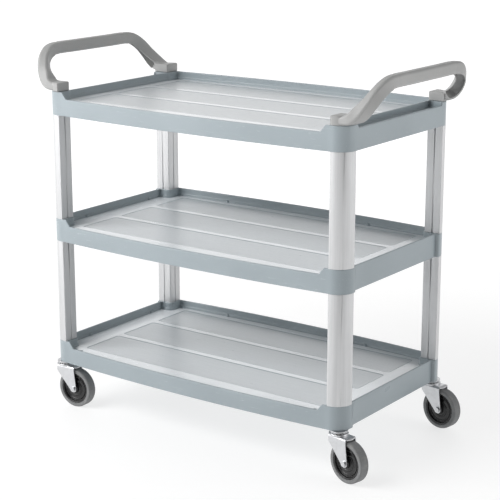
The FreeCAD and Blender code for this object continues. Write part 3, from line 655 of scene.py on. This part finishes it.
def build_posts():
    plan = post_plan()
    for level, (below, above) in POST_SPANS.items():
        bottom, top = TRAY_BASES[below] + TRAY_HEIGHT, TRAY_BASES[above]
        for corner, (sx, sy) in CORNERS.items():
            surface = Surface()
            rings = []
            for z in (bottom, (bottom + top) / 2, top):
                rings.append(surface.ring([(sx * x, -sy * y, z) for x, y in plan]))
            surface.skin(rings)
            surface.fill(rings[0])
            surface.fill(rings[-1])
            node = f"{level}_post_{corner}"
            piece = new_piece(node + "_extrusion", surface.mesh(node + "_extrusion"), [ALUMINIUM],
                              "cart", [node])
            flat_shading(piece)


# ---- handles ------------------------------------------------------------------------------------
HANDLE_REACH = 54.0         # centre of the grip beyond the tray's end
GRIP_Z = 911.0
GRIP_HALF = 128.0           # half the straight part of the grip
SPAN_STEPS = 10
TWIST = -0.3                # how far the section's width turns in towards the trolley half-way up the leg
CHANNEL_START, CHANNEL_END, CHANNEL_EASE = 2.4, 6.4, 0.14   # in spans along the route
CHANNEL_DEPTH, CHANNEL_WALL = 19.0, 2.8
SECTION_RADIUS = 7.0
CHANNEL_SHARPENS = 4.6      # the section's inner radius loses this much beside a channel
CREASE_PLACE = 7.0          # where the grip meets the bends, in spans along the route
CREASE_DEPTH, CREASE_HALF = 1.4, 0.05
SHADOW_GAP = 0.9            # height of the fine gap under a foot
FOOT_HEIGHT = 22.0
FOOT_ROUNDING = 3.0
FOOT_RADIUS = 4.0           # the foot's corner towards the deck


def handle_stations():
    """Half of the right handle from foot to mid-grip: x, y, z, lean, width, thickness."""
    x, y, z = HALF_LENGTH, HALF_WIDTH - POST / 2, TOP_RIM + FOOT_HEIGHT / 2
    grip_x = HALF_LENGTH + HANDLE_REACH
    return [
        (x - 36, y, z, 0.0, 36.0, 20.0), (x - 18, y, z, 0.0, 36.0, 20.0), (x + 2, y, z + 5, 0.05, 36.0, 26.0),
        (x + 18, y - 4, z + 17, 0.2, 33.0, 29.0), (x + 34, y - 12, z + 37, 0.4, 30.0, 27.0),
        (x + 46, y - 27, z + 59, 0.65, 30.0, 25.0), (grip_x - 1, y - 52, GRIP_Z - 5, 0.9, 30.0, 24.0),
        (grip_x, GRIP_HALF, GRIP_Z, 1.0, 30.0, 24.0), (grip_x, GRIP_HALF / 2, GRIP_Z, 1.0, 30.0, 24.0),
        (grip_x, 0.0, GRIP_Z, 1.0, 30.0, 24.0),
    ]


def smooth_route(stations):
    """Catmull-Rom points through the stations, with their place along the route in spans."""
    first = [2 * a - b for a, b in zip(stations[0], stations[1])]
    last = [2 * a - b for a, b in zip(stations[-1], stations[-2])]
    keys = [first] + [list(s) for s in stations] + [last]
    route = []
    for i in range(1, len(keys) - 2):
        for step in range(SPAN_STEPS):
            t = step / SPAN_STEPS
            point = [0.5 * (2 * b + (c - a) * t + (2 * a - 5 * b + 4 * c - d) * t * t
                            + (3 * b - a - 3 * c + d) * t ** 3)
                     for a, b, c, d in zip(keys[i - 1], keys[i], keys[i + 1], keys[i + 2])]
            route.append(point + [i - 1 + t])
    route.append(list(stations[-1]) + [len(stations) - 1])
    return route


def handle_section(width, thickness, opened):
    """Rounded section; opened grows from 0 to 1 where the inner side becomes a channel."""
    w, t = width / 2, thickness / 2
    outer, inner = SECTION_RADIUS, SECTION_RADIUS - CHANNEL_SHARPENS * opened
    points = arc_points((w - outer, -t + outer), outer, -90, 0, 6)
    points += arc_points((w - outer, t - outer), outer, 0, 90, 6)
    points += arc_points((-w + inner, t - inner), inner, 90, 180, 6)
    mouth = t - CHANNEL_WALL - CHANNEL_SHARPENS * (1 - opened)
    depth = CHANNEL_DEPTH * opened
    half = [(0.7 * opened, mouth + 0.1), (max(depth - 3, 0.8 * opened), mouth),
            (max(depth - 0.9, opened), mouth - 0.9), (depth, mouth - 3)]
    points += [(-w + d, v) for d, v in half] + [(-w + d, -v) for d, v in reversed(half)]
    points += arc_points((-w + inner, -t + inner), inner, 180, 270, 6)
    return points


def handle_rings():
    """Sections along the whole right handle, from the back foot over the grip to the front foot."""
    half = smooth_route(handle_stations())
    route = half + [[p[0], -p[1]] + p[2:] for p in reversed(half[:-1])]
    rings = []
    for i, (x, y, z, lean, width, thickness, place) in enumerate(route):
        before, after = route[max(i - 1, 0)], route[min(i + 1, len(route) - 1)]
        along = Vector([b - a for a, b in zip(before[:3], after[:3])]).normalized()
        side = 1 if i < len(half) else -1
        angle = math.radians(90 * min(lean, 1.0))
        across = Vector((TWIST * math.sin(2 * angle), side * math.cos(angle), math.sin(angle)))
        across = (across - along * across.dot(along)).normalized()
        normal = along.cross(across)
        edge = min(place - CHANNEL_START, CHANNEL_END - place) / CHANNEL_EASE
        crease = CREASE_DEPTH * max(0.0, 1 - abs(place - CREASE_PLACE) / CREASE_HALF)
        section = handle_section(width - crease, thickness - crease, max(0.0, min(1.0, edge)))
        points = [Vector((x, y, z)) + across * u + normal * v for u, v in section]
        lowest = [TOP_RIM + SHADOW_GAP if p.x < HALF_LENGTH + 3 else p.z for p in points]
        rings.append([(p.x, p.y, max(p.z, low)) for p, low in zip(points, lowest)])
    return rings


def foot_rings(sy):
    """Foot that caps a corner block; a fine shadow gap runs round its base."""
    left, back = HALF_LENGTH - POST, -HALF_WIDTH + POST
    plan = [(left, -HALF_WIDTH), *arc_points(CORNER_CENTRE, CORNER_RADIUS, -90, 0, 16), (HALF_LENGTH, back)]
    plan += arc_points((left + FOOT_RADIUS, back - FOOT_RADIUS), FOOT_RADIUS, 90, 180, 4)
    rows = [(1.0, 0.0), (1.0, SHADOW_GAP), (0.3, 1.2), (0.0, 1.8)]
    for a in quarter_turn():
        rows.append((FOOT_ROUNDING * (1 - math.cos(a)), FOOT_HEIGHT - FOOT_ROUNDING * (1 - math.sin(a))))
    return [[(x, -sy * y, TOP_RIM + z) for x, y in offset(plan, out)] for out, z in rows]


def build_handles():
    for side, sx in (("left", -1), ("right", 1)):
        surface = Surface()
        for rings in (handle_rings(), foot_rings(-1), foot_rings(1)):
            made = [surface.ring([(sx * x, y, z) for x, y, z in ring]) for ring in rings]
            surface.skin(made)
            surface.face(tuple(made[0]))
            surface.face(tuple(made[-1]))
        name = side + "_handle_bail"
        piece = new_piece(name, surface.mesh(name), [HANDLE], "cart", [side + "_handle"])
        flat_shading(piece)


# ---- casters ------------------------------------------------------------------------------------
TRAIL = 35.0                # wheel axle behind the swivel axis
WHEEL_RADIUS = 50.0
AXLE_Z = WHEEL_RADIUS
TYRE_HALF = 13.0
TREAD_ROUNDING = 4.0
CROWN_TOP = 108.0           # top face of the fork's crown
SHEET = 2.5
FORK_HALF = 18.0            # half the width over both legs
FORK_BEND = 3.5
FORK_COLUMNS = 14
CROWN_MIDDLE = CROWN_TOP - SHEET / 2
CROWN_FRONT, CROWN_BACK = (-14.0, -7.0), (37.0, 3.0)    # edge of the crown at a leg, swell half-way across
CROWN_DROP = 3.0            # how far the crown's back edge turns down
CROWN_DROP_START, CROWN_DROP_RUN = 35.5, 4.5
CROWN_DROP_HALF = 14.0      # half width of the part that turns down
LEG_RADIUS = 9.5            # round end of a leg about the axle
LEG_FRONT = -16.0
LEG_BACK = 2.0              # the trailing edge meets the crown this far behind the axle
LEG_LEAN_START = 3.0        # the lean of the leading edge is taken from this far behind the leg's front
LEG_SHOULDER = 14.0         # straight part of the leading edge under the crown
LEG_ANGLES = (0.5, 8, 18, 30, 42, 54, 66, 78, 90)
LEG_HEIGHTS = (56, 64, 72, 80, 86, 92, 97)
CROWN_ROWS = (-13.25, -9, -4.5)
EDGE_ROUNDING = 0.5
EDGE_ANGLE = 50.0           # sheet edges sharper than this are rounded
METAL_ROUNDING, HUB_ROUNDING = 0.8, 0.9
# (radius, height) outlines of the cup and the race
UPPER_CUP = ((1.0, 113.1), (18.6, 113.1), (20.0, 114.0), (20.2, 115.4), (21.6, 116.2), (22.0, 117.0),
             (22.0, 119.0), (1.0, 119.0))
LOWER_RACE = ((7.4, 107.2), (22.4, 107.2), (23.0, 108.0), (23.0, 110.8), (21.8, 111.9), (7.4, 111.9))
# (radius, half length) of the hub and of the tyre's flank, from the bore outwards
HUB_OUTLINE = ((6.1, 15.0), (10.5, 15.0), (11.5, 14.0), (12.5, 8.5), (17.0, 8.0), (18.0, 9.4), (20.2, 9.4),
               (21.2, 7.5), (28.0, 6.6), (29.0, 8.4), (31.0, 8.4), (32.2, 6.2), (34.5, 6.4), (35.8, 11.2),
               (38.4, 11.8), (39.6, 11.0))
TYRE_FLANK = ((39.6, TYRE_HALF - 1.8), (41.0, TYRE_HALF - 0.2), (42.2, TYRE_HALF), (43.0, TYRE_HALF - 0.5),
              (44.0, TYRE_HALF))


def rounded_profile(points, radius):
    """Closed (radius, along) profile with each corner eased by a small arc."""
    eased = []
    for i, here in enumerate(points):
        p, a, b = Vector(here), Vector(points[i - 1]), Vector(points[(i + 1) % len(points)])
        cut = min(radius, 0.45 * (a - p).length, 0.45 * (b - p).length)
        start, end = p + (a - p).normalized() * cut, p + (b - p).normalized() * cut
        for t in (0.0, 0.33, 0.67, 1.0):
            eased.append(tuple(start * (1 - t) ** 2 + p * 2 * t * (1 - t) + end * t ** 2))
    return eased


def lathe(profile, centre, axis, steps=96):
    """Closed profile of (radius, along) turned about an axis."""
    surface = Surface()
    axis = Vector(axis).normalized()
    side = axis.orthogonal().normalized()
    other = axis.cross(side)
    angles = [2 * math.pi * k / steps for k in range(steps)]
    spokes = [side * math.cos(a) + other * math.sin(a) for a in angles]
    rings = []
    for radius, along in profile:
        hub = Vector(centre) + axis * along
        rings.append(surface.ring([tuple(hub + spoke * radius) for spoke in spokes]))
    surface.skin(rings + [rings[0]])
    return surface


def tyre_profile():
    side = list(TYRE_FLANK)
    for a in quarter_turn(5):
        side.append((WHEEL_RADIUS - TREAD_ROUNDING * (1 - math.sin(a)),
                     TYRE_HALF - TREAD_ROUNDING * (1 - math.cos(a))))
    return side + [(r, -a) for r, a in reversed(side)]


def hub_profile():
    return rounded_profile([*HUB_OUTLINE, *((r, -a) for r, a in reversed(HUB_OUTLINE))], HUB_ROUNDING)


def leg_edges(z):
    """Leading and trailing edge of a fork leg at a height."""
    lean = math.atan2(TRAIL - LEG_RADIUS - LEG_FRONT - LEG_LEAN_START, CROWN_MIDDLE - AXLE_Z)
    touch_x, touch_z = TRAIL - LEG_RADIUS * math.cos(lean), AXLE_Z - LEG_RADIUS * math.sin(lean)
    trailing = TRAIL + LEG_RADIUS + (z - AXLE_Z) / (CROWN_MIDDLE - AXLE_Z) * (LEG_BACK - LEG_RADIUS)
    rise = (z - touch_z) / (CROWN_MIDDLE - LEG_SHOULDER - touch_z)
    leading = touch_x + rise * (LEG_FRONT - touch_x)
    if z < AXLE_Z:
        half = math.sqrt(max(LEG_RADIUS ** 2 - (AXLE_Z - z) ** 2, 0.0))
        trailing = TRAIL + half
        if z < touch_z:
            leading = TRAIL - half
    return max(leading, LEG_FRONT), trailing


def fork_sheet():
    """Cross-section stations of the pressed fork from one leg's tip over the crown to the other's."""
    middle = FORK_HALF - SHEET / 2
    heights = [AXLE_Z - LEG_RADIUS * math.cos(math.radians(a)) for a in LEG_ANGLES]
    stations = [(-middle, z, (-1, 0)) for z in (*heights, *LEG_HEIGHTS, CROWN_MIDDLE - FORK_BEND)]
    for degrees in (18, 36, 54, 72):
        a = math.radians(degrees)
        y = -middle + FORK_BEND * (1 - math.cos(a))
        z = CROWN_MIDDLE - FORK_BEND * (1 - math.sin(a))
        stations.append((y, z, (-math.cos(a), math.sin(a))))
    stations += [(y, CROWN_MIDDLE, (0, 1)) for y in CROWN_ROWS]
    mirrored = [(-y, z, (-n[0], n[1])) for y, z, n in reversed(stations)]
    return stations + [(0.0, CROWN_MIDDLE, (0, 1))] + mirrored


def fork_surface():
    """Pressed sheet of the fork; its crown swells front and back and turns down along the back edge."""
    surface = Surface()
    grids = {1: [], -1: []}
    for y, z, normal in fork_sheet():
        if abs(y) < FORK_HALF - SHEET / 2 - 0.1:
            share = 1 - (y / FORK_HALF) ** 2
            low, high = (edge + swell * share for edge, swell in (CROWN_FRONT, CROWN_BACK))
        else:
            low, high = leg_edges(z)
        for face_side, grid in grids.items():
            row = []
            for k in range(FORK_COLUMNS + 1):
                x = low + (high - low) * k / FORK_COLUMNS
                past = max(0.0, (x - CROWN_DROP_START) / CROWN_DROP_RUN) if abs(y) < CROWN_DROP_HALF else 0.0
                drop = CROWN_DROP * past ** 2
                depth = face_side * SHEET / 2
                row.append((x, y + normal[0] * depth, z + normal[1] * depth - drop))
            grid.append(surface.ring(row))
    for grid in grids.values():
        surface.skin(grid, closed=False)
    for end in (0, -1):
        surface.skin([[row[end] for row in grids[1]], [row[end] for row in grids[-1]]], closed=False)
        surface.skin([grids[1][end], grids[-1][end]], closed=False)
    return surface


def joint_of(name):
    return next(j for j in frame["joints"] if j["name"] == name)


def turned_piece(name, profile, centre, axis, material, body, node):
    mesh = lathe(profile, centre, axis).mesh(name)
    flat_shading(new_piece(name, mesh, [material], body, [node]))


def build_caster(corner):
    """Tyre, hub, upper cup and fork of one caster, set where its two joints stand at rest."""
    swivel = Vector(joint_of("swivel_" + corner)["pos_m"]) / MM
    roll = joint_of("roll_" + corner)
    axle = Vector(roll["pos_m"]) / MM
    axis = Vector(roll["axis"])
    turned_piece("tyre_ring_" + corner, tyre_profile(), axle, axis, RUBBER,
                 "wheel_" + corner, "wheel_tyre_" + corner)
    turned_piece("hub_disc_" + corner, hub_profile(), axle, axis, HUB,
                 "wheel_" + corner, "wheel_hub_" + corner)
    foot = Vector((swivel.x, swivel.y, 0))
    turned_piece("swivel_cup_" + corner, rounded_profile(UPPER_CUP, METAL_ROUNDING), foot, (0, 0, 1), ZINC,
                 "cart", "caster_stem_" + corner)
    turn = Matrix.Rotation(math.atan2(axle.y - swivel.y, axle.x - swivel.x), 4, "Z")
    surface = fork_surface()
    ring = lathe(rounded_profile(LOWER_RACE, METAL_ROUNDING), (0, 0, 0), (0, 0, 1))
    shift = len(surface.points)
    surface.points += ring.points
    surface.faces += [tuple(i + shift for i in face) for face in ring.faces]
    surface.marks += ring.marks
    surface.points = [tuple(turn @ Vector(p) + foot) for p in surface.points]
    name = "pressed_fork_" + corner
    piece = new_piece(name, surface.mesh(name), [ZINC], "fork_" + corner, ["fork_" + corner])
    bevel = piece.modifiers.new("rounding", "BEVEL")
    bevel.width = EDGE_ROUNDING * MM
    bevel.segments = 2
    bevel.limit_method = "ANGLE"
    bevel.angle_limit = math.radians(EDGE_ANGLE)
    flat_shading(piece)


def build_casters():
    for corner in CORNERS:
        build_caster(corner)


def finish_nodes():
    """Finishes for the CAD nodes that stay as they are."""
    finishes = {"axle_bolt": ZINC, "axle_nut": ZINC, "axle_spacer": STEEL, "race_balls": STEEL,
                "tie_rod": STEEL, "coupling_nuts": STEEL, "handle_inserts": STEEL}
    for name, node in nodes.items():
        for start, material in finishes.items():
            if name.startswith(start):
                node.data.materials.clear()
                node.data.materials.append(material)


# ---- studio -------------------------------------------------------------------------------------
FLOOR_REACH = 40000.0
FLOOR_CELLS = 4             # squares of the floor on each side of the middle
GLOW_NEAR, GLOW_FAR = (0.9, 0.71), (3.2, 0.93)      # metres from the middle, strength of the painted glow, weaker near the trolley as painted shade
# (direction, lowest and highest alignment with it, white of the surround at the lowest and highest)
CAMERA_SIDE_DIM = ((0.57, -0.79, 0.22), 0.1, 0.95, 0.73, 0.10)
OVERHEAD_DIM = ((0, 0, 1), 0.25, 0.9, 1.0, 0.48)
SEEN_WHITE = 1.02
CAMERA_PLACE = (2.162, -2.955, 1.387)   # metres
CAMERA_YAW, CAMERA_PITCH = 36.01, 14.64
CAMERA_LENS, CAMERA_SENSOR = 109.4, 36.0


def studio_paper():
    """Grey paper with a faint fibre and a painted white glow that grows away from the trolley, so the floor
    round it is painted darker as painted shade.
    """
    s = Shader("studio_paper", Roughness=0.6, Specular_IOR_Level=0.25)
    s.bsdf.inputs["Emission Color"].default_value = (1, 1, 1, 1)
    fibre = s.noise((300, 300, 300), 3.0)
    distance = s.node("ShaderNodeVectorMath", {0: s.place}, operation="LENGTH").outputs["Value"]
    colour = s.mix(s.ranged(fibre, 0.3, 0.7, 0, 1), srgb(150, 150, 150), srgb(154, 154, 154))
    # painted light: the floor glows white of its own, and the weaker glow near the trolley is painted shade
    # round it
    glow = s.ranged(distance, GLOW_NEAR[0], GLOW_FAR[0], GLOW_NEAR[1], GLOW_FAR[1])
    return s.set(Base_Color=colour, Emission_Strength=glow)


def build_floor():
    """Wide pale floor under the trolley."""
    surface = Surface()
    lines = [FLOOR_REACH * i / FLOOR_CELLS for i in range(-FLOOR_CELLS, FLOOR_CELLS + 1)]
    surface.skin([surface.ring([(x, y, 0.0) for x in lines]) for y in lines], closed=False)
    mesh = surface.mesh("studio_floor")
    floor = bpy.data.objects.new("studio_floor", mesh)
    bpy.context.scene.collection.objects.link(floor)
    mesh.materials.append(studio_paper())


def softbox(name, place, target, size, power, size_y=None):
    """Rectangular area light that the camera does not see; places and sizes in metres, power in watts."""
    light = bpy.data.lights.new(name, "AREA")
    light.shape = "RECTANGLE"
    light.size = size
    light.size_y = size_y or size
    light.energy = power
    lamp = bpy.data.objects.new(name, light)
    bpy.context.scene.collection.objects.link(lamp)
    lamp.visible_camera = False
    lamp.location = place
    lamp.rotation_euler = (Vector(target) - Vector(place)).to_track_quat("-Z", "Y").to_euler()


def build_world():
    """White surround, dimmer overhead and behind the camera; the camera itself sees plain white."""
    world = bpy.data.worlds.new("studio_world")
    world.use_nodes = True
    tree = world.node_tree
    background = tree.nodes["Background"]
    background.inputs["Strength"].default_value = 1.0
    place = tree.nodes.new("ShaderNodeTexCoord")
    factors = []
    for direction, start, end, most, least in (CAMERA_SIDE_DIM, OVERHEAD_DIM):
        facing = tree.nodes.new("ShaderNodeVectorMath")
        facing.operation = "DOT_PRODUCT"
        facing.inputs[1].default_value = Vector(direction).normalized()
        ramp = tree.nodes.new("ShaderNodeMapRange")
        ramp.interpolation_type = "SMOOTHSTEP"
        for key, value in (("From Min", start), ("From Max", end), ("To Min", most), ("To Max", least)):
            ramp.inputs[key].default_value = value
        tree.links.new(place.outputs["Generated"], facing.inputs[0])
        tree.links.new(facing.outputs["Value"], ramp.inputs["Value"])
        factors.append(ramp.outputs["Result"])
    both = tree.nodes.new("ShaderNodeMath")
    both.operation = "MULTIPLY"
    for socket, factor in zip(both.inputs, factors):
        tree.links.new(factor, socket)
    seen = tree.nodes.new("ShaderNodeLightPath")
    white = tree.nodes.new("ShaderNodeMix")
    white.data_type = "RGBA"
    white.inputs[7].default_value = (SEEN_WHITE, SEEN_WHITE, SEEN_WHITE, 1)
    tree.links.new(both.outputs["Value"], white.inputs[6])
    tree.links.new(seen.outputs["Is Camera Ray"], white.inputs[0])
    tree.links.new(white.outputs[2], background.inputs["Color"])
    bpy.context.scene.world = world
    bpy.context.scene.view_settings.view_transform = "Standard"


def build_lights():
    softbox("key_left", (-2.6, -3.0, 1.7), (0, 0, 0.5), 3.0, 74)
    softbox("front_high", (-1.3, -2.2, 2.6), (0, 0, 0.6), 2.4, 62, size_y=1.2)
    softbox("fill_right", (3.0, 1.0, 1.4), (0, 0, 0.5), 2.0, 22)
    softbox("overhead", (0.0, 0.6, 3.2), (0, 0, 0.4), 2.6, 2)
    softbox("back_left", (-3.0, 4.2, 1.7), (0, 0, 0.4), 3.4, 13, size_y=2.2)
    build_world()


def build_camera():
    """Long lens from the front right, a little above the top tray."""
    yaw, pitch = math.radians(CAMERA_YAW), math.radians(CAMERA_PITCH)
    aim = Vector((-math.sin(yaw) * math.cos(pitch), math.cos(yaw) * math.cos(pitch), -math.sin(pitch)))
    data = bpy.data.cameras.new("camera")
    data.lens = CAMERA_LENS
    data.sensor_width = CAMERA_SENSOR
    camera = bpy.data.objects.new("camera", data)
    bpy.context.scene.collection.objects.link(camera)
    camera.location = CAMERA_PLACE
    camera.rotation_euler = aim.to_track_quat("-Z", "Y").to_euler()
    bpy.context.scene.camera = camera


build_camera()
build_trays()
build_posts()
build_handles()
build_casters()
finish_nodes()
build_floor()
build_lights()
